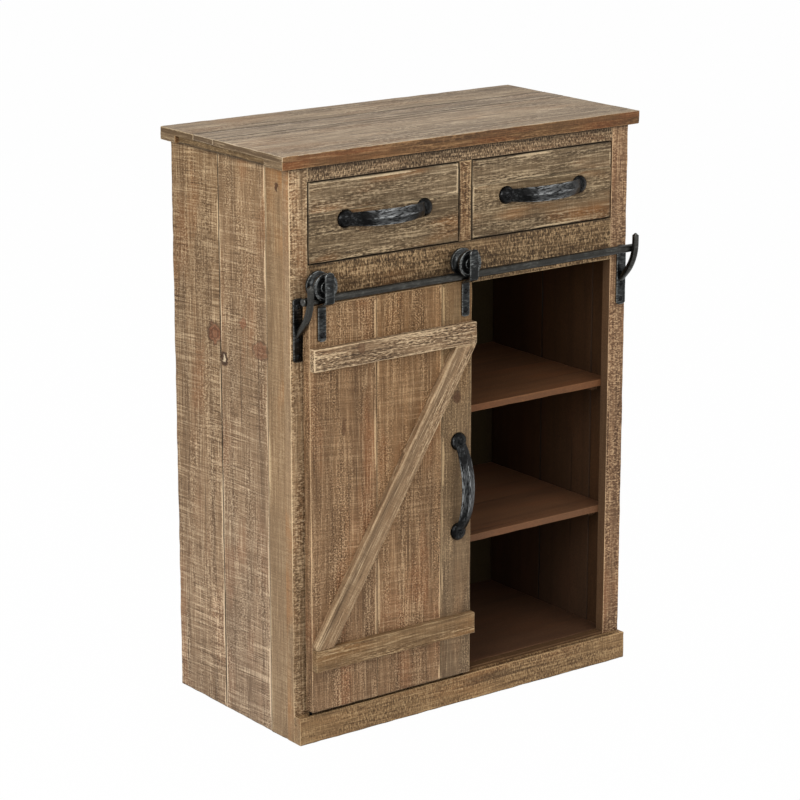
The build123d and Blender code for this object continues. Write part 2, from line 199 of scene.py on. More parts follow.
def knot_group():
    """One knot in a board: a ringed heart with a dark rim at a fixed place, wider along one axis."""
    inputs = {COLOR: ("Color", "Heart"), VECTOR: ("Place", "Reach"), FLOAT: ("Rim", "Depth")}
    tree, given, out = new_group("board_knot", inputs, {COLOR: ("Color",)})
    spot = add(tree, "TexCoord").outputs["Object"]
    wobble = add(tree, "TexNoise", {"Vector": spot, "Scale": 140.0, "Detail": 3.0}).outputs["Color"]
    wobble = vector(tree, "SUBTRACT", wobble, (0.5, 0.5, 0.5))
    wobble = add(tree, "VectorMath", {0: wobble, "Scale": 0.016}, operation="SCALE").outputs[0]
    moved = vector(tree, "ADD", spot, wobble)
    away = vector(tree, "SUBTRACT", moved, given["Place"])
    away = vector(tree, "DIVIDE", away, given["Reach"])
    share = add(tree, "VectorMath", {0: away}, operation="LENGTH").outputs["Value"]
    body = mask(tree, share, 1.15, 0.75)
    color = mix(tree, times(tree, body, given["Depth"]), given["Color"], given["Heart"])
    ring = mask(tree, calc(tree, "SINE", times(tree, share, 14.0)), 0.0, 0.8)
    ring = times(tree, times(tree, ring, body), 0.9)
    rim = times(tree, mask(tree, share, 0.8, 1.0), mask(tree, share, 1.25, 1.05))
    rim = times(tree, calc(tree, "MAXIMUM", rim, ring), given["Rim"])
    color = mix(tree, rim, color, srgb(58, 33, 18))
    wire(tree, out["Color"], color)
    return tree


def forged_iron_group():
    """Dark iron: brushed streaks, pale rubbed patches and edges that are partly wear and partly painted highlights, and
    a fine pitted skin.
    """
    inputs = {COLOR: ("Coat", "Rubbed Sheen"), FLOAT: ("Rub Sheen", "Edge Rub Sheen", "Edge")}
    tree, given, out = new_group("forged_iron", inputs, SURFACE)
    spot = add(tree, "TexCoord").outputs["Object"]
    patch = stretched(tree, spot, (60.0, 60.0, 60.0), 3.0, 0.6)
    brush = stretched(tree, spot, (90.0, 520.0, 520.0), 3.0, 0.65)
    pit = stretched(tree, spot, (700.0, 700.0, 700.0), 2.0, 0.6)
    # The rubbed patches and edges are partly wear and partly painted highlight: they mix the coat towards a pale grey.
    rub = times(tree, mask(tree, patch, 0.4, 0.7), mask(tree, brush, 0.4, 0.7))
    rub = times(tree, rub, given["Rub Sheen"])
    edge = times(tree, mask(tree, given["Edge"], 0.15, 0.8), mask(tree, brush, 0.36, 0.6))
    rub = calc(tree, "MAXIMUM", rub, times(tree, edge, given["Edge Rub Sheen"]))
    wire(tree, out["Color"], mix(tree, rub, given["Coat"], given["Rubbed Sheen"]))
    wire(tree, out["Roughness"], ramped(tree, patch, 0.26, 0.17))
    wire(tree, out["Height"], ramped(tree, pit, 0.35, times(tree, patch, 0.9)))
    return tree


BOARD_GROUP = weathered_board_group()
KNOT_GROUP = knot_group()
IRON_GROUP = forged_iron_group()


def bare_tree(owner):
    """The emptied node tree of a material or world."""
    owner.use_nodes = True
    owner.node_tree.nodes.clear()
    return owner.node_tree


def new_material(name):
    material = bpy.data.materials.new(name)
    tree = bare_tree(material)
    shader = add(tree, "BsdfPrincipled")
    end = add(tree, "OutputMaterial")
    tree.links.new(shader.outputs[0], end.inputs["Surface"])
    return material, tree, shader


def use_group(tree, group, sockets):
    return add(tree, "Group", sockets, node_tree=group).outputs


def finish_surface(tree, shader, color, made, bump_strength, bump_depth):
    wire(tree, shader.inputs["Base Color"], color)
    wire(tree, shader.inputs["Roughness"], made["Roughness"])
    sockets = {"Height": made["Height"], "Strength": bump_strength, "Distance": bump_depth}
    wire(tree, shader.inputs["Normal"], add(tree, "Bump", sockets).outputs[0])


def board_material(name, colors, marks, knots=(), grain="carried"):
    """A wood finish. Boards made here carry their own grain, and others take it from their place along X or Y."""
    material, tree, shader = new_material(name)
    sockets = dict(zip(("Pale", "Mid", "Dark", "Warm"), (srgb(*color) for color in colors)))
    sockets.update(zip(("Fleck Scale", *MARK_LABELS), marks))
    for label in ("Wear", "Seam", "Tone"):
        sockets[label] = add(tree, "Attribute", attribute_name=label.lower()).outputs["Fac"]
    if grain == "carried":
        sockets["Grain"] = add(tree, "Attribute", attribute_name="grain").outputs["Vector"]
    else:
        sockets["Grain"] = add(tree, "TexCoord").outputs["Object"]
    if grain == "along_y":
        place = add(tree, "SeparateXYZ", {0: sockets["Grain"]}).outputs
        turned_place = {0: place[1], 1: place[2], 2: place[0]}
        sockets["Grain"] = add(tree, "CombineXYZ", turned_place).outputs[0]
    made = use_group(tree, BOARD_GROUP, sockets)
    color = made["Color"]
    for place, reach, heart, rim, depth in knots:
        knot = {"Color": color, "Place": place, "Reach": reach, "Heart": srgb(*heart), "Rim": rim, "Depth": depth}
        color = use_group(tree, KNOT_GROUP, knot)["Color"]
    shader.inputs["Specular IOR Level"].default_value = 0.25
    finish_surface(tree, shader, color, made, 0.6, 0.8 * MM)
    return material


def iron_material(name, coat, rubbed_sheen, rub_sheen, edge_rub_sheen):
    material, tree, shader = new_material(name)
    sockets = {"Coat": srgb(*coat), "Rubbed Sheen": srgb(*rubbed_sheen), "Rub Sheen": rub_sheen, "Edge Rub Sheen": edge_rub_sheen}
    sockets["Edge"] = add(tree, "Attribute", attribute_name="edge").outputs["Fac"]
    made = use_group(tree, IRON_GROUP, sockets)
    shader.inputs["Metallic"].default_value = 0.92
    finish_surface(tree, shader, made["Color"], made, 0.5, 0.5 * MM)
    return material


# Knots as place, reach along each axis, heart colour, strength of the rim and depth of the heart
SIDE_KNOTS = [
    ((-0.286, 0.0616, 0.532), (0.008, 0.0145, 0.0145), (134, 82, 56), 0.6, 0.72),
    ((-0.286, -0.048, 0.5295), (0.008, 0.017, 0.0125), (132, 86, 60), 0.45, 0.66),
    ((-0.286, 0.038, 0.501), (0.008, 0.0078, 0.0085), (58, 36, 20), 0.9, 0.95),
    ((-0.286, 0.038, 0.501), (0.008, 0.0044, 0.0048), (214, 192, 160), 0.0, 1.0),
    ((-0.286, -0.008, 0.559), (0.008, 0.008, 0.0075), (146, 92, 62), 0.35, 0.6),
    ((-0.286, -0.0905, 0.7545), (0.008, 0.003, 0.005), (80, 50, 30), 0.7, 0.9),
]
DOOR_KNOTS = [
    ((-0.0283, -0.1379, 0.4447), (0.0065, 0.008, 0.0075), (88, 58, 36), 0.5, 0.85),
    ((-0.2150, -0.1379, 0.4340), (0.004, 0.008, 0.008), (96, 66, 42), 0.4, 0.7),
]
BATTEN_KNOTS = [((-0.1956, -0.1489, 0.5391), (0.006, 0.008, 0.006), (104, 74, 50), 0.4, 0.6)]
SAWN, COMBED, DASHED, FINE = (480, 260, 260), (560, 230, 230), (150, 620, 620), (480, 400, 400)
# Fleck scale, flecks, fleck cover, saw lines, streaks, bands and rubbed edge, as each finish below lists them
STAINED, SHADED = (FINE, 0.1, 0.0, 0.05, 0.25, 0.35, 0.5), (FINE, 0.1, 0.0, 0.05, 0.25, 0.35, 0.0)
FRAME_MARKS = (COMBED, 0.8, 0.12, 0.5, 0.45, 0.45, 1.0)
# Pale, middle, dark and warm colour of each wood
SIDE_COLORS = ((220, 191, 154), (150, 121, 90), (80, 56, 34), (150, 108, 74))
SMOOTH_COLORS = ((200, 172, 134), (153, 125, 93), (108, 82, 54), (176, 120, 68))
FRAME_COLORS = ((214, 185, 145), (152, 122, 88), (76, 54, 33), (148, 107, 70))
RIGHT_FRAME_COLORS = ((204, 170, 131), (137, 104, 75), (68, 45, 28), (144, 98, 66))
BASE_COLORS = ((196, 163, 119), (142, 111, 75), (72, 50, 30), (140, 100, 62))
RAIL_COLORS = ((186, 156, 116), (107, 83, 55), (42, 28, 15), (120, 83, 49))
INNER_EDGE_COLORS = ((128, 99, 72), (100, 74, 51), (74, 53, 35), (104, 75, 50))
TOP_COLORS = ((196, 177, 151), (137, 118, 95), (78, 61, 43), (130, 102, 74))
EDGE_COLORS = ((164, 127, 87), (101, 72, 44), (50, 32, 17), (130, 74, 38))
END_COLORS = ((186, 162, 128), (130, 107, 79), (78, 58, 37), (126, 94, 62))
DRAWER_COLORS = ((196, 172, 136), (113, 93, 67), (50, 36, 21), (150, 100, 54))
DOOR_COLORS = ((190, 157, 118), (134, 101, 68), (72, 50, 29), (142, 92, 54))
OLIVE_COLORS = ((174, 146, 108), (117, 93, 65), (74, 55, 35), (124, 90, 56))
BATTEN_COLORS = ((214, 187, 149), (134, 107, 78), (50, 34, 20), (134, 98, 64))
BRACE_COLORS = ((214, 187, 149), (143, 115, 85), (64, 46, 29), (138, 102, 68))
INNER_COLORS = ((134, 94, 62), (108, 73, 47), (80, 52, 33), (114, 73, 45))
FLOOR_COLORS = ((104, 72, 48), (83, 56, 37), (62, 41, 26), (88, 57, 36))
SHADED_COLORS = ((84, 56, 31), (67, 43, 22), (50, 31, 15), (72, 44, 22))
BACK_COLORS = ((66, 52, 24), (52, 40, 16), (40, 29, 11), (54, 38, 16))
BOX_COLORS = ((150, 116, 86), (122, 90, 64), (88, 60, 41), (124, 86, 58))
SIDE_WOOD = board_material("side_wood", SIDE_COLORS, (SAWN, 0.6, 0.03, 0.8, 0.65, 0.55, 1.0), SIDE_KNOTS)
SMOOTH_WOOD = board_material("smooth_side_wood", SMOOTH_COLORS, (SAWN, 0.3, -0.05, 0.3, 0.5, 0.5, 1.0), SIDE_KNOTS)
FRAME_WOOD = board_material("frame_wood", FRAME_COLORS, FRAME_MARKS)
RIGHT_FRAME_WOOD = board_material("right_frame_wood", RIGHT_FRAME_COLORS, FRAME_MARKS)
BASE_WOOD = board_material("baseboard_wood", BASE_COLORS, (COMBED, 0.75, 0.1, 0.4, 0.6, 0.5, 0.9))
RAIL_WOOD = board_material("rail_wood", RAIL_COLORS, (COMBED, 0.85, 0.14, 0.35, 0.6, 0.5, 0.7))
INNER_EDGE_WOOD = board_material("inner_edge_wood", INNER_EDGE_COLORS, (FINE, 0.15, 0.0, 0.1, 0.3, 0.4, 0.5))
TOP_WOOD = board_material("top_wood", TOP_COLORS, (DASHED, 0.6, 0.02, 0.12, 0.85, 0.8, 0.8))
EDGE_WOOD = board_material("top_edge_wood", EDGE_COLORS, (DASHED, 0.5, 0.0, 0.1, 0.7, 0.8, 0.7))
END_WOOD = board_material("top_end_wood", END_COLORS, (DASHED, 0.5, 0.0, 0.1, 0.7, 0.7, 0.9), grain="along_y")
DRAWER_WOOD = board_material("drawer_wood", DRAWER_COLORS, (DASHED, 0.75, 0.05, 0.22, 0.68, 0.48, 1.0))
DOOR_WOOD = board_material("door_wood", DOOR_COLORS, (FINE, 0.85, 0.06, 0.4, 0.6, 0.5, 1.0), DOOR_KNOTS)
OLIVE_WOOD = board_material("door_olive_wood", OLIVE_COLORS, (FINE, 0.65, 0.0, 0.3, 0.5, 0.5, 1.0), DOOR_KNOTS)
BATTEN_WOOD = board_material("batten_wood", BATTEN_COLORS, (DASHED, 0.95, 0.14, 0.1, 0.75, 0.4, 0.9), BATTEN_KNOTS)
BRACE_WOOD = board_material("brace_wood", BRACE_COLORS, (DASHED, 0.6, 0.0, 0.15, 0.75, 0.5, 0.45))
FLOOR_WOOD = board_material("inner_floor_wood", FLOOR_COLORS, STAINED)
INNER_WOOD = board_material("inner_wood", INNER_COLORS, STAINED)
SHADED_WOOD = board_material("shaded_wood", SHADED_COLORS, SHADED)
BACK_WOOD = board_material("back_wood", BACK_COLORS, SHADED)
BOX_WOOD = board_material("drawer_box_wood", BOX_COLORS, (FINE, 0.1, 0.0, 0.1, 0.4, 0.4, 0.5))
RUNNER_WOOD = board_material("runner_wood", BOX_COLORS, (FINE, 0.1, 0.0, 0.1, 0.4, 0.4, 0.0), grain="along_x")
# Each iron's pale second colour is its rubbed wear and also its painted highlight.
TRACK_IRON = iron_material("graphite_track_iron", (36, 37, 37), (134, 136, 134), 0.45, 0.75)
ROD_IRON = iron_material("worn_sheened_rod_iron", (52, 51, 48), (120, 119, 114), 0.5, 0.4)
PULL_IRON = iron_material("black_cast_iron", (12, 12, 12), (190, 192, 192), 0.15, 0.5)
SCREW_IRON = iron_material("dark_screw_iron", (20, 20, 20), (90, 92, 92), 0.3, 0.3)


# Meshes

def new_object(name, data):
    made = bpy.data.objects.new(name, data)
    bpy.context.scene.collection.objects.link(made)
    return made


WELD_GAP, KEENEST_BEND = 0.00001, 0.9


def smooth_object(
    name, points, faces, material, body, slot, replaced=(),
    sharp=40.0, rubbed_sheen=False, weld=True, place=None,
):
    """A closed mesh object, shaded smooth up to a sharp angle, that rides on a body.

    Rubbed pieces carry how sharply each point's edges stand out, for the iron's rubbed wear and painted highlights,
    and welded ones join points at the same place. A place is the matrix for points that are given around a piece's
    own origin.
    """
    mesh = bpy.data.meshes.new(name)
    mesh.from_pydata([tuple(p) for p in points], [], [tuple(f) for f in faces])
    tidy = bmesh.new()
    tidy.from_mesh(mesh)
    if weld:
        bmesh.ops.remove_doubles(tidy, verts=tidy.verts, dist=WELD_GAP)
    bmesh.ops.recalc_face_normals(tidy, faces=tidy.faces)
    bends = []
    if rubbed_sheen:
        bends = [max([e.calc_face_angle_signed(0.0) for e in v.link_edges] + [0.0]) for v in tidy.verts]
    tidy.to_mesh(mesh)
    tidy.free()
    mesh.shade_smooth()
    mesh.set_sharp_from_angle(angle=math.radians(sharp))
    mesh.materials.append(material)
    if rubbed_sheen:
        set_attribute(mesh, "edge", "FLOAT", "value", np.clip(np.array(bends) / KEENEST_BEND, 0.0, 1.0))
    piece = new_object(name, mesh)
    if place is not None:
        piece.matrix_world = place
        bpy.context.view_layer.update()
    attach(piece, body)
    if replaced:
        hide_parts(*replaced)
    return piece


EASE_SHARES = (0.0, 0.4, 1.0, 2.0, 3.6)


def cuts(length, ease, pitch):
    """Places of the cuts along one side of a board: close near both ends and even between them."""
    near = [share * ease for share in EASE_SHARES if share * ease < 0.42 * length]
    span = length - 2 * near[-1]
    count = max(1, round(span / pitch))
    middle = [near[-1] + span * i / count for i in range(1, count)]
    return np.array(near + middle + [length - n for n in reversed(near)])


def grid_quads(grid):
    """The quads between the rows and columns of a grid of point numbers."""
    corners = [grid[:-1, :-1], grid[:-1, 1:], grid[1:, 1:], grid[1:, :-1]]
    return np.stack([c.ravel() for c in corners], 1)


def box_shell(xs, ys, zs):
    """Points and quads of a closed box surface cut at the given places, with shared corners."""
    shell = np.zeros((len(xs), len(ys), len(zs)), bool)
    for axis in range(3):
        view = np.moveaxis(shell, axis, 0)
        view[0] = view[-1] = True
    index = np.full(shell.shape, -1)
    index[shell] = np.arange(shell.sum())
    i, j, k = np.nonzero(shell)
    points = np.stack([xs[i], ys[j], zs[k]], 1)
    quads = []
    for axis in range(3):
        view = np.moveaxis(index, axis, 0)
        for end, sheet in ((0, view[0]), (1, view[-1])):
            turned_over = (end == 1) != (axis == 1)
            quads.append(grid_quads(sheet)[:, :: -1 if turned_over else 1])
    return points, np.concatenate(quads)


def wander(points, scale, seed):
    """Smooth noise from -1 to 1 at each point."""
    shift = Vector((seed * 1.73, seed * 2.41, seed * 3.07))
    return np.array([noise.noise(Vector(p) * scale + shift) for p in points])


def set_attribute(mesh, name, kind, field, values):
    mesh.attributes.new(name, kind, "POINT").data.foreach_set(field, np.asarray(values, np.float32).ravel())


def set_marks(mesh, grain, wear, seam, tone):
    """What a board's finish reads at each point."""
    set_attribute(mesh, "grain", "FLOAT_VECTOR", "vector", grain)
    for name, values in (("wear", wear), ("seam", seam), ("tone", tone)):
        set_attribute(mesh, name, "FLOAT", "value", values)


GROOVE_WIDTH, GROOVE_DEPTH, GROOVE_END, GROOVE_LIP = 5.0 * MM, 5.0 * MM, 16.0 * MM, 0.3 * MM


def pin_groove():
    """Where the groove for the door's guide pins starts and ends along X and Y, from the baseboard's corner."""
    low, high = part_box("baseboard")
    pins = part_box("door_guide_pins")
    middle = (pins[0].y + pins[1].y) / 2 - low.y
    half = GROOVE_WIDTH / 2
    return (GROOVE_END, high.x - low.x - GROOVE_END), (middle - half, middle + half)


def with_edges(places, edges):
    """The cuts along one side of a board with a close pair at each edge of a groove."""
    low, high = edges
    added = np.array([low - GROOVE_LIP, low, high, high + GROOVE_LIP])
    clear = np.abs(places[:, None] - added).min(axis=1) > 2 * GROOVE_LIP
    return np.sort(np.concatenate([places[clear], added]))


WEAR_REACH, SEAM_FADE, SEAM_WANDER, RUB_SPREAD, RUB_OFFSET = 2.2 * MM, 5.0 * MM, 0.7 * MM, 1.5 * MM, 1.1
CROSS_PITCH, LINING_LEAN = 0.8, 0.75


def worn_board(
    node, along, material, body, slot, seed, ease, pitch,
    butts=(), linings=(), snug=(), tone=0.0, groove=None,
):
    """A board in a CAD node's box, with uneven rubbed arrises and a slightly wavy sawn face.

    Ease, the arrises' size, and pitch, the cuts' spacing, are in mm. Butts lists the ends, as (axis, 0 or 1, dark,
    pale, width in mm), that meet a neighbour in a seam, by how dark the painted shade at that end is, how pale the
    rubbed arris beside it and how wide. Snug lists the ends, as (axis, 0 or 1), that stay sharp against a neighbour.
    Linings are (axis, sign, material, reach in mm) for faces that have another finish. Tone is how pale the board is,
    or a pair of tones for its start and end, a fade that on the side boards paints the light from below. Groove is
    what pin_groove gives, and its floor takes full painted shade.
    """
    low, high = (np.array(corner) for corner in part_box(node))
    size = high - low
    ease, pitch = min(ease * MM, 0.3 * size.min()), pitch * MM
    places = [cuts(length, ease, pitch * (1.0 if axis == along else CROSS_PITCH)) for axis, length in enumerate(size)]
    if groove:
        places[:2] = [with_edges(place, edges) for place, edges in zip(places, groove)]
    points, quads = box_shell(*places)
    radius = ease * np.clip(0.95 + 1.0 * wander(points, 38.0, seed) + 0.5 * wander(points, 130.0, seed + 9), 0.35, 2.2)
    radius = np.minimum(radius, 0.45 * size.min())[:, None]
    from_face = np.minimum(points, size - points)
    lower, upper = np.repeat(radius, 3, axis=1), size - radius
    outer = np.isclose(points, 0.0) | np.isclose(points, size)
    hidden = np.zeros(len(points), bool)
    for axis, end in snug:
        level = size[axis] if end else 0.0
        (upper if end else lower)[:, axis] = level
        from_face[:, axis] = np.abs(size[axis] - level - points[:, axis])
        hidden |= np.isclose(points[:, axis], level) & (outer.sum(axis=1) == 1)
    inner = np.clip(points, lower, upper)
    away = np.where(hidden[:, None], 0.0, points - inner)
    reach = np.linalg.norm(away, axis=1, keepdims=True)
    normal = away / np.maximum(reach, 1e-9)
    shaped = np.where(reach > 0, inner + normal * radius, points)
    sink = np.clip(0.14 + 0.2 * wander(points, 24.0, seed + 4), 0.0, 0.4) * MM
    shaped -= normal * np.minimum(sink, 0.03 * size.min())[:, None]
    lowered = np.zeros(len(points), bool)
    if groove:
        lowered = np.isclose(points[:, Z], size[Z])
        for axis, edges in enumerate(groove):
            lowered &= np.abs(points[:, axis] - np.mean(edges)) < 0.5 * (np.ptp(edges) + GROOVE_LIP)
        shaped[lowered, Z] -= GROOVE_DEPTH
    piece = smooth_object(f"{node}_worn", shaped + low, quads, material, body, slot, [node], weld=False)
    order = [along] + sorted((a for a in range(3) if a != along), key=lambda a: -size[a])
    grain = points[:, order] + np.array([seed * 1.37, seed * 0.71, seed * 0.29])
    # Painted shade fills the pin groove: its floor is fully dark and its walls fade up to the lip.
    seam = np.where(lowered, 1.0, 0.0)
    wear = np.exp(-np.sort(from_face, axis=1)[:, 1] / WEAR_REACH)
    inside = np.clip(np.minimum(points[:, along], size[along] - points[:, along]) / SEAM_FADE, 0, 1)
    # Each butt paints shade along its end and a rubbed pale arris just inside it.
    for axis, end, dark, pale, width in butts:
        gap = (size[axis] - points[:, axis]) if end else points[:, axis]
        gap = gap + SEAM_WANDER * wander(points, 30.0, seed + 2)
        faded = 1.0 if axis == along else inside
        seam = np.maximum(seam, np.clip(1.3 - gap / (width * MM), 0, 1) * dark * faded)
        uneven = np.clip(0.65 + 2.0 * wander(points, 12.0, seed + 6), 0, 1.3)
        line = np.exp(-(((gap - (width + RUB_OFFSET) * MM) / RUB_SPREAD) ** 2))
        wear = np.maximum(wear, line * uneven * pale * faded)
    ends = (tone, tone) if np.isscalar(tone) else tone
    tone = np.interp(points[:, along] / size[along], (0.0, 1.0), ends)
    set_marks(piece.data, grain, wear, seam, tone)
    for number, (axis, sign, finish, near) in enumerate(linings, start=1):
        piece.data.materials.append(finish)
        flat = high[axis] if sign > 0 else low[axis]
        for face in piece.data.polygons:
            if face.normal[axis] * sign > LINING_LEAN or abs(face.center[axis] - flat) < near * MM:
                face.material_index = number


SEAM_WIDTH, TOP_SEAM_WIDTH, TOP_SHADOW_WIDTH, STRIP_SEAM_WIDTH = 1.3, 2.6, 4.5, 1.6
BOARD_PITCH, BATTEN_PITCH, FRONT_PITCH, BOX_PITCH = 9.0, 6.0, 8.0, 14.0


def both_ends(axis, dark, pale, width=SEAM_WIDTH):
    """The seams at the low and at the high end of a board along an axis."""
    return (axis, 0, dark, pale, width), (axis, 1, dark, pale, width)


def dress_boards():
    """Every board of the carcass, the door and the drawers."""
    # The dark part of each butt is painted shade: in the seams between boards, and as painted shadow where a board
    # meets one over or under it, such as under the top's overhang (over) and under the door (under).
    front, rear = both_ends(Y, 0.95, 1.2)
    pale_front, pale_rear = both_ends(Y, 0.5, 1.1)
    top_front, top_rear = both_ends(Y, 0.9, 0.8, TOP_SEAM_WIDTH)
    pale_left, pale_right = both_ends(X, 0.45, 1.0)
    under, above = both_ends(Z, 0.9, 0.0)
    over = (Z, 1, 0.85, 0.0, TOP_SHADOW_WIDTH)
    strip_edges = [(Z, 0, 0.85, 0.6, STRIP_SEAM_WIDTH), (Z, 1, 0.85, 0.0, STRIP_SEAM_WIDTH)]
    sharp_under, sharp_over, sharp_rear, sharp_front = (Z, 0), (Z, 1), (Y, 1), (Y, 0)
    ends = [(X, -1, END_WOOD, 0), (X, 1, END_WOOD, 0)]
    outside = (Y, -1, EDGE_WOOD, 0)
    shaded_back = [(Y, 1, SHADED_WOOD, 1)]
    # Node, grain axis, finish, ease, butts, linings, snug ends and tone
    top_wood = [
        ("top_board_rear", X, TOP_WOOD, 1.8, [top_front], ends, [sharp_under], -0.3),
        ("top_board_middle", X, TOP_WOOD, 1.8, [top_front, top_rear], ends, [], 0.4),
        ("top_board_front", X, TOP_WOOD, 1.8, [top_rear], [*ends, outside], [sharp_under], 0.1),
        ("top_front_strip", X, EDGE_WOOD, 1.3, [], ends, [sharp_over]),
        ("top_rear_strip", X, EDGE_WOOD, 1.3, [], ends, [sharp_over]),
        ("top_left_strip", Y, END_WOOD, 1.2, strip_edges, [], [], -1.2),
        ("top_right_strip", Y, END_WOOD, 1.2, strip_edges, [], [], -1.2),
    ]
    carcass_wood = [
        ("left_stile", Z, FRAME_WOOD, 1.3, [over],
         [(X, -1, SMOOTH_WOOD, 0), (X, 1, INNER_EDGE_WOOD, 0)], [sharp_rear], 0.2),
        ("right_stile", Z, RIGHT_FRAME_WOOD, 1.3, [over],
         [(X, 1, SMOOTH_WOOD, 0), (X, -1, INNER_EDGE_WOOD, 0)], [sharp_rear]),
        ("top_rail", X, RAIL_WOOD, 0.8, [under, over], [], [], 0.8),
        ("drawer_divider", Z, RAIL_WOOD, 0.8, both_ends(X, 0.9, 0.5), [], [], 0.2),
        ("drawer_rail", X, RAIL_WOOD, 0.9, [above], shaded_back),
        # The bottom rail's darker inner edge wood and low tone paint the shade at the foot of the opening.
        ("bottom_rail", X, INNER_EDGE_WOOD, 1.2, [], shaded_back, [], -1.0),
        ("baseboard", X, BASE_WOOD, 1.8, [under], [(X, -1, SMOOTH_WOOD, 0)]),
    ]
    inner_wood = [
        ("floor_panel", X, FLOOR_WOOD, 1.0),
        ("lower_shelf", X, INNER_WOOD, 1.2, [], [], [], 0.2),
        ("upper_shelf", X, INNER_WOOD, 1.2, [], [], [], -0.2),
        ("back_panel", Z, BACK_WOOD, 0.6, [], [(Y, 1, BOX_WOOD, 0)]),
    ]
    sides = []
    for side, sign in (("left", 1), ("right", -1)):
        inside = [(X, sign, SHADED_WOOD, 3)]
        # Each side board's pair of tones makes it paler towards the bottom: painted light from below.
        for part, wood, meets, snug, tone in (
            ("front", SMOOTH_WOOD, [pale_rear, under, over], [sharp_front], (0.4, -0.4)),
            ("middle", SIDE_WOOD, [pale_front, rear, under, over], [], (1.3, -0.6)),
            ("rear", SIDE_WOOD, [front, under, over], [], (0.9, -0.9)),
        ):
            sides.append((f"{side}_side_board_{part}", Z, wood, 1.9, meets, inside, snug, tone))
    seed = 0
    slots = ("top_wood", "carcass_wood", "inner_wood", "carcass_wood")
    for slot, boards in zip(slots, (top_wood, carcass_wood, inner_wood, sides)):
        for node, along, wood, ease, *rest in boards:
            seed += 1
            groove = pin_groove() if node == "baseboard" else None
            worn_board(node, along, wood, "carcass", slot, seed, ease, BOARD_PITCH, *rest, groove=groove)
    for seed, (part, wood, meets, tone) in enumerate(
        (
            ("left", DOOR_WOOD, [pale_right, under], (0.6, 0.0)),
            ("middle", DOOR_WOOD, [pale_left, pale_right, under], (0.5, -0.3)),
            ("right", OLIVE_WOOD, [pale_left, under], (0.9, -0.3)),
        ),
        start=31,
    ):
        worn_board(f"door_board_{part}", Z, wood, "barn_door", "door_wood", seed, 1.6, BOARD_PITCH, meets, tone=tone)
    for seed, (part, wood, tone) in enumerate((("top", BATTEN_WOOD, 0.2), ("bottom", BRACE_WOOD, -1.0)), start=35):
        worn_board(f"door_{part}_batten", X, wood, "barn_door", "batten_wood", seed, 1.9, BATTEN_PITCH, tone=tone)
    slot, front_ends = "drawer_front_wood", both_ends(X, 0.9, 0.9)
    lower = [*front_ends, (Z, 0, 0.9, 0.9, SEAM_WIDTH), (Z, 1, 0.45, 0.8, SEAM_WIDTH)]
    upper = [*front_ends, (Z, 1, 0.9, 1.0, SEAM_WIDTH), (Z, 0, 0.3, 0.8, SEAM_WIDTH)]
    box = (("left_side", Y), ("right_side", Y), ("back", X), ("bottom", X))
    for start, side in ((41, "left"), (51, "right")):
        body = f"{side}_drawer"
        worn_board(f"{body}_front", X, DRAWER_WOOD, body, slot, start, 1.4, FRONT_PITCH, lower)
        worn_board(f"{body}_front_upper", X, DRAWER_WOOD, body, slot, start + 5, 1.4, FRONT_PITCH, upper, tone=0.3)
        for seed, (part, along) in enumerate(box, start + 1):
            worn_board(f"{body}_{part}", along, BOX_WOOD, body, "inner_wood", seed, 0.9, BOX_PITCH)


BRACE_WIDTH, BRACE_LENGTH, BRACE_EASE = 28 * MM, 0.45, 1.8 * MM
BRACE_DEPTH_SHARES = (0.12, 0.3, 0.6, 1.0)


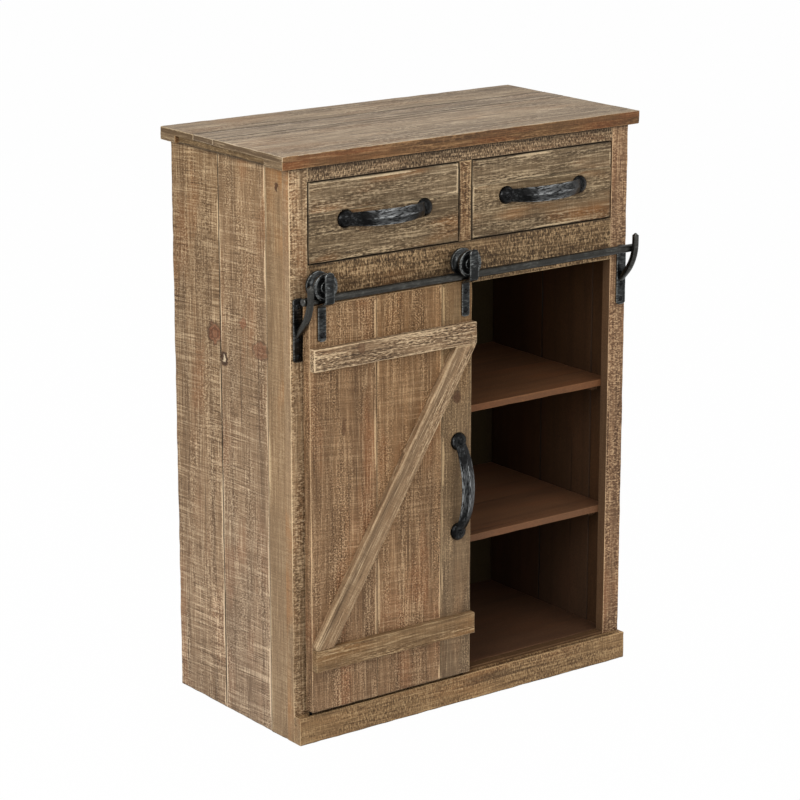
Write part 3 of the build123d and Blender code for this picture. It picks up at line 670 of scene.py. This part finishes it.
def dress_brace():
    """The diagonal brace: a board whose lower end is cut square to the batten and the door's edge."""
    low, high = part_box("door_brace")
    solid = [v.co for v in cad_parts["door_brace"].data.vertices]
    near = 2 * MM
    foot = max(p.x for p in solid if p.z < low.z + near)
    head = min(p.x for p in solid if p.z > high.z - near)
    shoulder = max(p.z for p in solid if p.x < low.x + near)
    along_cuts = cuts(1.0, BRACE_EASE / (high.z - low.z), 0.016)
    across_cuts = cuts(1.0, BRACE_EASE / BRACE_WIDTH, 0.12)
    direction = Vector((high.x - foot, high.z - low.z)).normalized()
    side_foot, side_wall = foot - low.x, shoulder - low.z
    turn = side_foot / (side_foot + side_wall)
    front, grain, wear = [], [], []
    for a in along_cuts:
        for b in across_cuts:
            if b < turn:
                start = Vector((foot - side_foot * b / turn, low.z))
            else:
                start = Vector((low.x, low.z + side_wall * (b - turn) / (1 - turn)))
            end = Vector((high.x + (head - high.x) * b, high.z))
            spot = start.lerp(end, a)
            edge = min(min(a, 1 - a) * BRACE_LENGTH, min(b, 1 - b) * BRACE_WIDTH)
            bite = BRACE_EASE * (1.0 + 0.7 * noise.noise(Vector((spot.x, spot.y, 4.0)) * 45.0))
            dip = bite - math.sqrt(max(0.0, bite**2 - max(0.0, bite - edge) ** 2))
            dip += 0.15 * MM * (1 + noise.noise(Vector((spot.x, 7.0, spot.y)) * 30.0))
            front.append((spot.x, low.y + dip, spot.y))
            u = spot.dot(direction)
            v = spot.x * direction.y - spot.y * direction.x
            grain.append((u + 3.3, v + 1.9, 0.4))
            wear.append(math.exp(-edge / (2.6 * MM)))
    grid = np.arange(len(front)).reshape(len(along_cuts), len(across_cuts))
    points, faces = list(front), grid_quads(grid).tolist()
    rim = np.concatenate([grid[0], grid[1:, -1], grid[-1, -2::-1], grid[-2:0:-1, 0]]).tolist()
    ring = rim
    for share in BRACE_DEPTH_SHARES:
        base = len(points)
        for n in rim:
            x, y, z = front[n]
            deep = (high.y - y) * share
            points.append((x, y + deep, z))
            u, v, w = grain[n]
            grain.append((u, v, w + deep))
            wear.append(math.exp(-deep / (1.4 * MM)) * 0.9)
        deeper = list(range(base, len(points)))
        faces += grid_quads(np.array([[*ring, ring[0]], [*deeper, deeper[0]]])).tolist()
        ring = deeper
    faces.append(ring)
    slot = "batten_wood"
    piece = smooth_object("door_brace_worn", points, faces, BRACE_WOOD, "barn_door", slot, ["door_brace"], weld=False)
    plain = np.zeros(len(points))
    set_marks(piece.data, grain, wear, plain, plain)


SCREW_SEGMENTS, FOOT_SEGMENTS, ROLLER_SEGMENTS, ROD_SEGMENTS = 28, 48, 72, 32


def turned(profile, segments):
    """A profile of (radius, height), which closes or ends on the axis, turned about local Z."""
    points = []
    for n in range(segments):
        angle = 2 * math.pi * n / segments
        points += [(r * math.cos(angle), r * math.sin(angle), h) for r, h in profile]
    grid = np.arange(len(points)).reshape(segments, -1)
    return points, grid_quads(np.vstack([grid, grid[:1]]))[:, [0, 3, 2, 1]].tolist()


def join_shells(shells):
    """Several closed shells as one list of points and one of faces."""
    points, faces = [], []
    for shell_points, shell_faces in shells:
        base = len(points)
        points += shell_points
        faces += [tuple(base + i for i in f) for f in shell_faces]
    return points, faces


def placed(shell, matrix):
    points, faces = shell
    return [tuple(matrix @ Vector(p)) for p in points], faces


def hammered(points, amount, scale, seed):
    """Points pushed about a little, as a hammer leaves them."""
    shift = Vector((seed, seed * 0.7, seed * 0.4))
    moved = []
    for p in points:
        spot = Vector(p) * scale + shift
        push = Vector([noise.noise(spot + Vector(step)) for step in ((0, 0, 0), (9, 0, 0), (0, 9, 0))])
        moved.append(tuple(Vector(p) + push * amount))
    return moved


def tube_faces(rings, size):
    """Quads between rings of points, and a cap at each end."""
    grid = np.arange(rings * size).reshape(rings, size)
    sides = grid_quads(np.hstack([grid, grid[:, :1]]))
    return [*sides.tolist(), grid[0].tolist(), grid[-1].tolist()]


def swept(path, sections):
    """A bar along a path of (y, z) places in the plane X = 0, with a loop of (x, outward) at each place."""
    points = []
    for n, (spot, section) in enumerate(zip(path, sections)):
        along = (path[min(len(path) - 1, n + 1)] - path[max(0, n - 1)]).normalized()
        for x, out in section:
            points.append((x, spot.x - along.y * out, spot.y + along.x * out))
    return points, tube_faces(len(path), len(sections[0]))


def soft_loop(half, corner, count=20):
    """A rounded square as a loop of (x, outward)."""
    loop = []
    for n in range(count):
        angle = 2 * math.pi * (n + 0.5) / count
        legs = (math.cos(angle), math.sin(angle))
        loop.append(tuple(half * math.copysign(abs(leg) ** (2 / corner), leg) for leg in legs))
    return loop


BEND_STEPS = 8


def rounded_path(corners, radius, pitch):
    """Places along straight runs whose inner corners are rounded, about pitch apart."""
    path = [Vector(corners[0])]
    for i in range(1, len(corners) - 1):
        before, here, after = (Vector(corners[i + k]) for k in (-1, 0, 1))
        back, ahead = (before - here).normalized(), (after - here).normalized()
        half = math.acos(max(-1.0, min(1.0, back.dot(ahead)))) / 2
        trim = radius / math.tan(half)
        start, end = here + back * trim, here + ahead * trim
        middle = here + (back + ahead).normalized() * radius / math.sin(half)
        for step in range(BEND_STEPS + 1):
            chord = start.lerp(end, step / BEND_STEPS) - middle
            path.append(middle + chord.normalized() * radius)
    path.append(Vector(corners[-1]))
    filled = [path[0]]
    for spot in path[1:]:
        gap = (spot - filled[-1]).length
        count = max(1, round(gap / pitch))
        start = filled[-1].copy()
        filled += [start.lerp(spot, k / count) for k in range(1, count + 1)]
    return filled


def path_lengths(path):
    """How far along a path each of its places lies."""
    return [0.0, *np.cumsum([(after - before).length for before, after in zip(path, path[1:])]).tolist()]


def to_front(spot):
    """Local Z, the axis of a turned shell, points out of the cabinet's front at a place."""
    return Matrix.Translation(spot) @ Matrix.Rotation(math.radians(90), 4, "X")


SCREW_PROFILE = [(0.0, 1.1), (0.9, 1.1), (1.3, 1.5), (2.4, 1.35), (3.3, 0.9), (3.8, 0.0), (3.6, -0.4), (0.0, -0.4)]


def screw_heads(name, spots, body):
    """Round screw heads with a small recess, seated at places on the front."""
    profile = [(r * MM, h * MM) for r, h in SCREW_PROFILE]
    shells = [placed(turned(profile, SCREW_SEGMENTS), to_front(spot)) for spot in spots]
    smooth_object(name, *join_shells(shells), SCREW_IRON, body, "dark_fastener_steel")


PULL_HALF_PITCH, PULL_SCREW_OUT, PULL_SHARP = 64.0, 8.3, 50.0
PULL_FEET = (-PULL_HALF_PITCH, PULL_HALF_PITCH)
HAND_SHEEN_HALF, HAND_SHEEN_OUT = 44 * MM, 12 * MM


def bow_shell():
    """A pull along local X on the plane Y = 0: a ridged band that bows to -Y between two domed feet."""
    depth, band, foot, reach, widest, narrowing = 28.0, 7.0, 2.0, 60.0, 10.6, 1.9
    inner = depth - band
    bow = (PULL_HALF_PITCH**2 + (inner - foot) ** 2) / (2 * (inner - foot))
    flank = [(0.0, 0.45), (0.5, 0.8), (1.5, 0.98), (2.8, 1.0), (3.7, 0.88), (4.6, 0.62), (5.5, 0.36), (6.6, 0.12)]
    outline = [(0.0, 0.0), *((rise, -width) for rise, width in flank), (band, 0.0), *reversed(flank)]
    rings = 56
    points = []
    for n in range(rings + 1):
        share = 2 * n / rings - 1
        angle = share * math.asin(reach / bow)
        half_w = widest - narrowing * abs(share) ** 2.4
        thick = 1.0 - 0.42 * abs(share) ** 5
        for rise, width in outline:
            radius = bow + rise * thick
            x, out = radius * math.sin(angle), radius * math.cos(angle) - bow + inner
            points.append((x * MM, -out * MM, half_w * width * MM))
    dome = [(0.0, 8.4), (2.5, 8.3), (5.0, 7.8), (7.5, 6.8), (9.8, 5.2), (11.5, 3.2), (12.3, 1.7), (12.5, 0.7),
            (12.5, 0.0), (0.0, 0.0)]
    foot_shell = turned([(r * MM, h * MM) for r, h in dome], FOOT_SEGMENTS)
    feet = [placed(foot_shell, to_front(Vector((x * MM, 0, 0)))) for x in PULL_FEET]
    return join_shells([(points, tube_faces(rings + 1, len(outline))), *feet])


def dress_pulls():
    """Each pull is black in its hollows and pale on its band's middle front, rubbed where a hand takes it and there
    also a painted highlight.
    """
    points, faces = bow_shell()
    pulls = (
        ("left_drawer_pull", "left_drawer", False),
        ("right_drawer_pull", "right_drawer", False),
        ("door_pull", "barn_door", True),
    )
    for seed, (node, body, upright) in enumerate(pulls):
        low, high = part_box(node)
        middle = (low + high) / 2
        spot = Matrix.Translation((middle.x, high.y, middle.z))
        if upright:
            spot = spot @ Matrix.Rotation(math.radians(90), 4, "Y")
        shaped = [p if p[1] > -0.1 * MM else q for p, q in zip(points, hammered(points, 0.22 * MM, 120.0, seed + 2))]
        cast = smooth_object(
            f"{node}_cast", shaped, faces, PULL_IRON, body, "cast_pull_iron", [node],
            sharp=PULL_SHARP, rubbed_sheen=True, place=spot,
        )
        # Partly wear, partly painted highlight: the middle front of the band gets a high edge value, which the iron
        # turns pale.
        for vertex, value in zip(cast.data.vertices, cast.data.attributes["edge"].data):
            along, out, _ = vertex.co
            hand_sheen = max(0.0, 1.2 - (along / HAND_SHEEN_HALF) ** 2) if out < -HAND_SHEEN_OUT else 0.0
            value.value = 0.15 * value.value + min(hand_sheen, 1.0) * (0.36 + 0.6 * value.value)
        heads = [spot @ Vector((x * MM, -PULL_SCREW_OUT * MM, 0)) for x in PULL_FEET]
        screw_heads(f"{node}_screws", heads, body)


TRACK_SLOT, TRACK_SHARP = "graphite_track_steel", 35.0


def track_piece(node, way, shell, body):
    """An iron piece of the track, rubbed pale with wear and painted highlights on its edges, in place of a CAD node."""
    return smooth_object(f"{node}_{way}", *shell, TRACK_IRON, body, TRACK_SLOT, [node], TRACK_SHARP, rubbed_sheen=True)


def dress_rollers():
    """Each roller is a spool with a rounded groove, dished faces and a bore for its axle."""
    half = [(4.3, 11.0), (7.2, 11.0), (7.9, 10.3), (14.2, 10.3), (15.2, 11.0), (17.2, 11.0), (18.2, 10.6), (18.5, 9.9),
            (18.5, 7.2), (18.2, 6.6), (17.2, 6.15), (16.2, 5.9), (15.0, 5.3), (13.7, 4.2), (12.6, 2.4)]
    profile = half + [(12.1, 0.0)] + [(r, -h) for r, h in reversed(half)] + [half[0]]
    shell = turned([(r * MM, h * MM) for r, h in profile], ROLLER_SEGMENTS)
    for side in ("left", "right"):
        node = f"{side}_roller"
        low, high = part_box(node)
        track_piece(node, "turned", placed(shell, to_front((low + high) / 2)), node)


RIBBON_COLUMNS = 10


def ribbon_shell(path, half_width, thickness):
    """A flat bar along a path of (y, z) places, with a half width at each length and eased long edges."""
    lengths = path_lengths(path)
    sections = []
    for s in lengths:
        w = half_width(s, lengths[-1])
        t = thickness / 2
        nick = min(0.5 * MM, w * 0.3)
        flat = 2 * w - 2 * nick
        top = [(-w + nick + flat * k / RIBBON_COLUMNS, t) for k in range(RIBBON_COLUMNS + 1)]
        under = [(x, -t) for x, _ in reversed(top)]
        sections.append(top + [(w, t - nick), (w, nick - t)] + under + [(-w, nick - t), (-w, t - nick)])
    return swept(path, sections)


def end_round(s, total, half, near, far):
    """Half width of a bar whose ends are rounded by the given radii."""
    for gap, radius in ((s, near), (total - s, far)):
        if gap < radius:
            half = min(half, half - radius + math.sqrt(max(0.0, radius**2 - (radius - gap) ** 2)))
    return max(half, 0.6 * MM)


def dress_straps():
    """Each hanger lies on the door, slopes out under the rod and stands in front of its roller."""
    thick, rise, drop, bend, pitch = 3.0 * MM, 7.5 * MM, 4.0 * MM, 3.0 * MM, 1.6 * MM
    low_half, widening, widening_run = 6.25 * MM, 0.75 * MM, 9 * MM
    low_round, high_round = 2.5 * MM, 6.9 * MM
    screw_rises = (8.5, 34.0)
    for seed, side in enumerate(("left", "right")):
        node = f"{side}_hanger_strap"
        low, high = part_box(node)
        middle = (low.x + high.x) / 2
        back, front = high.y - thick / 2, low.y + thick / 2
        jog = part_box("track_rod")[0].z - drop
        path = rounded_path([(back, low.z), (back, jog), (front, jog + rise), (front, high.z)], bend, pitch)
        lengths = path_lengths(path)
        change = next(s for s, p in zip(lengths, path) if p.x < (back + front) / 2)

        def half_width(s, total):
            blend = min(1.0, max(0.0, (s - change) / widening_run + 0.5))
            return end_round(s, total, low_half + widening * blend, low_round, high_round)

        points, faces = ribbon_shell(path, half_width, thick)
        points = [(x + middle, y, z) for x, y, z in hammered(points, 0.1 * MM, 90.0, seed)]
        track_piece(node, "forged", (points, faces), "barn_door")
        spots = [Vector((middle, high.y - thick, low.z + up * MM)) for up in screw_rises]
        screw_heads(f"{node}_screws", spots, "barn_door")


def dress_brackets():
    """Each bracket is a screwed plate with a forged arm that curves up in front of the rod."""
    rod_low, rod_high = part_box("track_rod")
    rod_z = (rod_low.z + rod_high.z) / 2
    plate_h, plate_half, plate_t, plate_rows = 84.5 * MM, 8 * MM, 3 * MM, 44
    arm_inset, arm_half, arm_taper, arm_tip = 4.25 * MM, 4.5 * MM, 0.35 * MM, 3.6 * MM
    arm_drop, arm_bend, arm_pitch, arm_seat, tip_gap = 47.1 * MM, 66 * MM, 3 * MM, 1.0 * MM, 0.4 * MM
    arm_corner, rubbed_from = 2.8, 3.3 * MM
    screw_rises = (7.5, 29.5, 74.0)

    def plate_half_width(s, total):
        return end_round(s, total, plate_half, plate_t, plate_t)

    for seed, side in enumerate(("left", "right")):
        node = f"{side}_track_bracket"
        low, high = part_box(node)
        middle = (low.x + high.x) / 2
        face, arm_y = high.y, low.y + arm_inset
        heights = [low.z + plate_h * k / plate_rows for k in range(plate_rows + 1)]
        plate = ribbon_shell([Vector((face - plate_t / 2, z)) for z in heights], plate_half_width, plate_t)
        start = Vector((face - arm_seat, rod_z - arm_drop))
        corner = (arm_y, start.y + start.x - arm_y)
        arm_path = rounded_path([start, corner, (arm_y, high.z - tip_gap)], arm_bend, arm_pitch)
        lengths = path_lengths(arm_path)
        sections = []
        for s in lengths:
            half = end_round(s, lengths[-1], arm_half - arm_taper * s / lengths[-1], 0, arm_tip)
            sections.append(soft_loop(half, arm_corner))
        arm = swept(arm_path, sections)
        points, faces = join_shells([plate, arm])
        points = [(x + middle, min(y, face), z) for x, y, z in hammered(points, 0.12 * MM, 80.0, seed + 5)]
        bracket = track_piece(node, "forged", (points, faces), "carcass")
        bracket.data.materials.append(ROD_IRON)
        for polygon in bracket.data.polygons:
            polygon.material_index = int(polygon.center.y < face - rubbed_from)
        spots = [Vector((middle, face - plate_t, low.z + up * MM)) for up in screw_rises]
        screw_heads(f"{node}_screws", spots, "carcass")


def dress_rod():
    low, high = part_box("track_rod")
    radius = (high.z - low.z) / 2
    length = high.x - low.x
    rings, ease = 120, 0.8 * MM
    profile = [(0.0, 0.0), (radius - ease, 0.0)]
    profile += [(radius, ease + (length - 2 * ease) * n / rings) for n in range(rings + 1)]
    profile += [(radius - ease, length), (0.0, length)]
    place = Matrix.Translation((low.x, (low.y + high.y) / 2, (low.z + high.z) / 2))
    rod = placed(turned(profile, ROD_SEGMENTS), place @ Matrix.Rotation(math.radians(90), 4, "Y"))
    smooth_object("track_rod_drawn", *rod, ROD_IRON, "carcass", TRACK_SLOT, ["track_rod"])


def dress_plain_nodes():
    """Small CAD pieces whose shape is right keep it and get their finish."""
    finishes = {
        **{f"{side}_drawer_runner": RUNNER_WOOD for side in ("left", "right", "middle")},
        "shelf_cleats": RUNNER_WOOD,
        "roller_axles": TRACK_IRON,
        "door_guide_pins": SCREW_IRON,
    }
    for node, material in finishes.items():
        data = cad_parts[node].data
        data.materials.clear()
        data.materials.append(material)


dress_boards()
dress_brace()
dress_pulls()
dress_rollers()
dress_straps()
dress_brackets()
dress_rod()
dress_plain_nodes()


# Studio

WHITE = (1.0, 1.0, 1.0, 1.0)


def seen_rays(tree):
    """1 for the rays that show a thing to the camera, straight, in a gloss or through a clear piece, else 0."""
    ray = add(tree, "LightPath").outputs
    bounced = calc(tree, "MAXIMUM", ray["Is Glossy Ray"], ray["Is Transmission Ray"])
    return calc(tree, "MAXIMUM", ray["Is Camera Ray"], bounced)


def studio_floor():
    """A white floor that looks as bright as the world behind it and still takes a soft shadow."""
    material = bpy.data.materials.new("studio_floor")
    tree = bare_tree(material)
    matte = add(tree, "BsdfDiffuse", {"Color": (0.82, 0.82, 0.82, 1.0)}).outputs[0]
    glow = add(tree, "Emission", {"Color": WHITE, "Strength": 1.0}).outputs[0]
    both = add(tree, "MixShader", {0: times(tree, seen_rays(tree), 0.985), 1: matte, 2: glow}).outputs[0]
    wire(tree, add(tree, "OutputMaterial").inputs["Surface"], both)
    mesh = bpy.data.meshes.new("studio_floor")
    half = 40.0
    mesh.from_pydata([(-half, -half, 0), (half, -half, 0), (half, half, 0), (-half, half, 0)], [], [(0, 1, 2, 3)])
    mesh.materials.append(material)
    new_object("studio_floor", mesh)


def studio_world():
    world = bpy.data.worlds.new("studio_world")
    bpy.context.scene.world = world
    tree = bare_tree(world)
    strength = ramped(tree, seen_rays(tree), 0.55, 0.45)
    light = add(tree, "Background", {"Color": WHITE, "Strength": strength}).outputs[0]
    wire(tree, add(tree, "OutputWorld").inputs["Surface"], light)


def softbox(name, place, aim, size, power):
    lamp = bpy.data.lights.new(name, "AREA")
    lamp.energy, lamp.size = power, size
    holder = new_object(name, lamp)
    holder.location = place
    holder.rotation_euler = (Vector(aim) - Vector(place)).to_track_quat("-Z", "Y").to_euler()


CAMERA_TARGET = Vector((-0.00049, 0.02804, 0.39957))
CAMERA_AZIMUTH, CAMERA_ELEVATION, CAMERA_DISTANCE = -36.6845, 15.2897, 3.94407


def photo_camera():
    data = bpy.data.cameras.new("photo_camera")
    data.sensor_width, data.lens = 36.0, 126.44
    data.clip_start, data.clip_end = 0.1, 50.0
    camera = new_object("photo_camera", data)
    a, e = math.radians(CAMERA_AZIMUTH), math.radians(CAMERA_ELEVATION)
    back = Vector((math.sin(a) * math.cos(e), -math.cos(a) * math.cos(e), math.sin(e)))
    camera.location = CAMERA_TARGET + back * CAMERA_DISTANCE
    camera.rotation_mode = "QUATERNION"
    camera.rotation_quaternion = (-back).to_track_quat("-Z", "Y")
    bpy.context.scene.camera = camera


studio_floor()
studio_world()
middle = (0.0, 0.0, 0.4)
softbox("left_softbox", (-2.6, -1.4, 1.9), middle, 1.8, 48.0)
softbox("front_softbox", (0.6, -3.0, 1.7), middle, 2.2, 29.0)
softbox("top_softbox", (0.2, 0.6, 3.0), middle, 2.0, 26.0)
photo_camera()
bpy.context.scene.view_settings.view_transform = "Standard"
